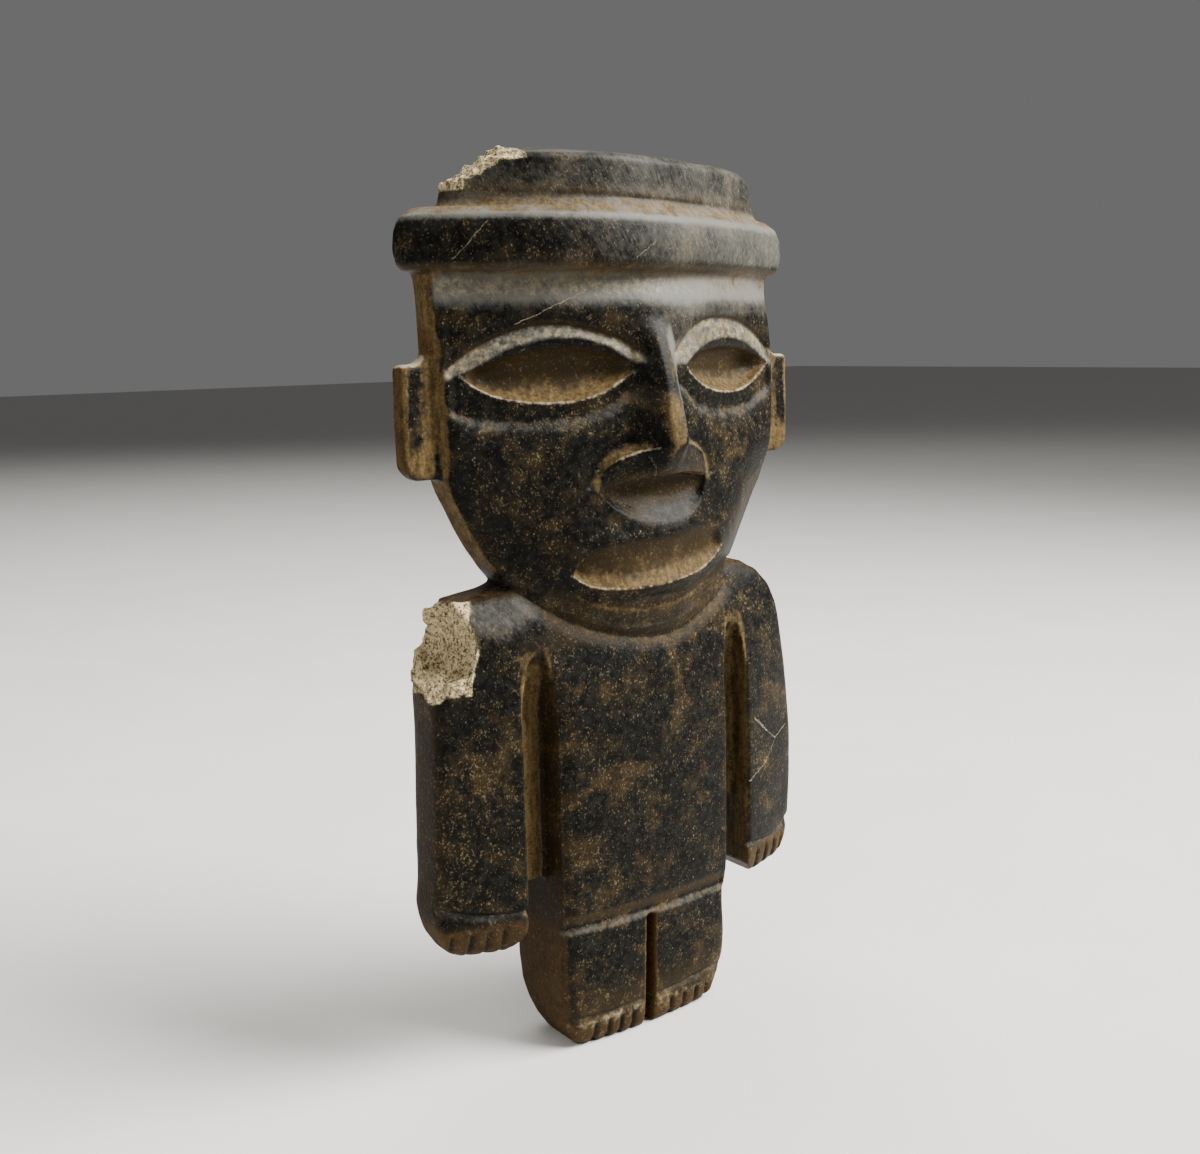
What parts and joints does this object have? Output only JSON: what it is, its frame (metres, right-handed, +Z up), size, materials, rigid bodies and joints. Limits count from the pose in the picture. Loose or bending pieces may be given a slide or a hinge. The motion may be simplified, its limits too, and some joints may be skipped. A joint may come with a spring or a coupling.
{
  "type": "anthropomorphic statuette",
  "caption": "Standing stone figure with a stepped headdress, a broad mask-like face, flat ears, arms held straight at the sides and short legs with carved toes.",
  "frame": {"origin": "on the plane of the soles, under the middle of the bounding box", "axes": "+Z up through the headdress, -Y the way the face looks, +X towards the ear that is farther from the broken shoulder"},
  "size_m": [0.127, 0.0444, 0.238],
  "materials": {
    "dark_stone": "worn polish on green-black stone, with tan and brown earth in the hollows and pale fractures"
  },
  "bodies": {
    "root": {"statuette": "dark_stone"}
  },
  "joints": []
}
